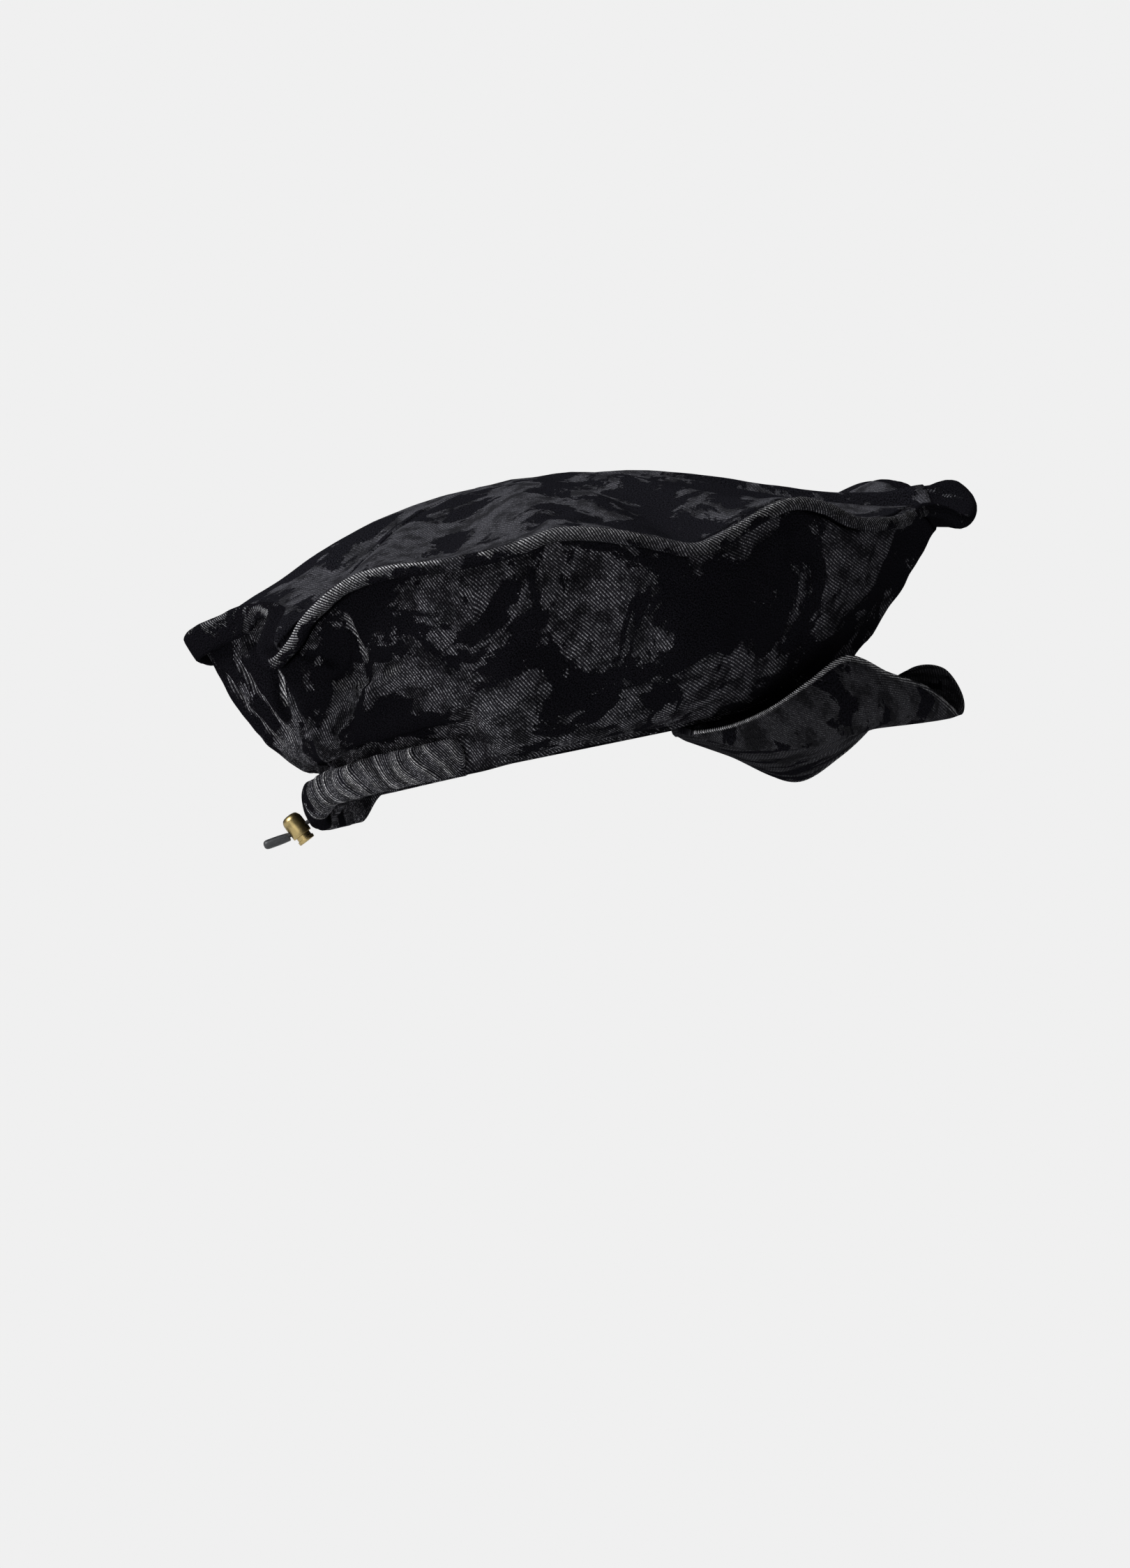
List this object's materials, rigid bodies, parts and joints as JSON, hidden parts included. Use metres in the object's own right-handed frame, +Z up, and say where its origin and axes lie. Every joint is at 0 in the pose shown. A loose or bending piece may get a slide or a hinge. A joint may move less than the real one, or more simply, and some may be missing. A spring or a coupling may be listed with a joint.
{
  "type": "painter hat",
  "caption": "Soft painter's hat: a domed top panel and a flared side panel joined in a wavy stitched edge, with a soft peak and a gathered drawcord back closed by a sprung cord lock",
  "frame": {"origin": "middle of the head opening", "axes": "+X to the front of the hat over the peak, +Y to the wearer's left, +Z up as worn; the opening's plane is tilted 11.5 degrees about Y, front up"},
  "size_m": [0.3434, 0.3071, 0.1652],
  "materials": {
    "top_cloth": "matte flocked twill",
    "side_cloth": "matte flocked twill",
    "edge_cloth": "worn twill",
    "brim_cloth": "matte flocked twill",
    "casing_cloth": "gathered twill",
    "cord": "braided elastic",
    "lock_metal": "antique",
    "tip_rubber": "satin"
  },
  "bodies": {
    "hat": {"crown_top": "top_cloth", "crown_side": "side_cloth", "crown_edge": "edge_cloth", "brim": "brim_cloth", "drawcord_casing": "casing_cloth", "drawcord_near": "cord", "drawcord_far": "cord", "cord_lock_barrel": "lock_metal", "cord_tip": "tip_rubber"},
    "plunger": {"cord_lock_plunger": "lock_metal"}
  },
  "joints": [
    {"name": "plunger_press", "type": "slide", "parent": "hat", "child": "plunger", "axis": [-0.6059, 0, 0.7955], "range_m": [0, 0.0015], "stiffness_N_per_m": 300, "springref_m": -0.005}
  ]
}
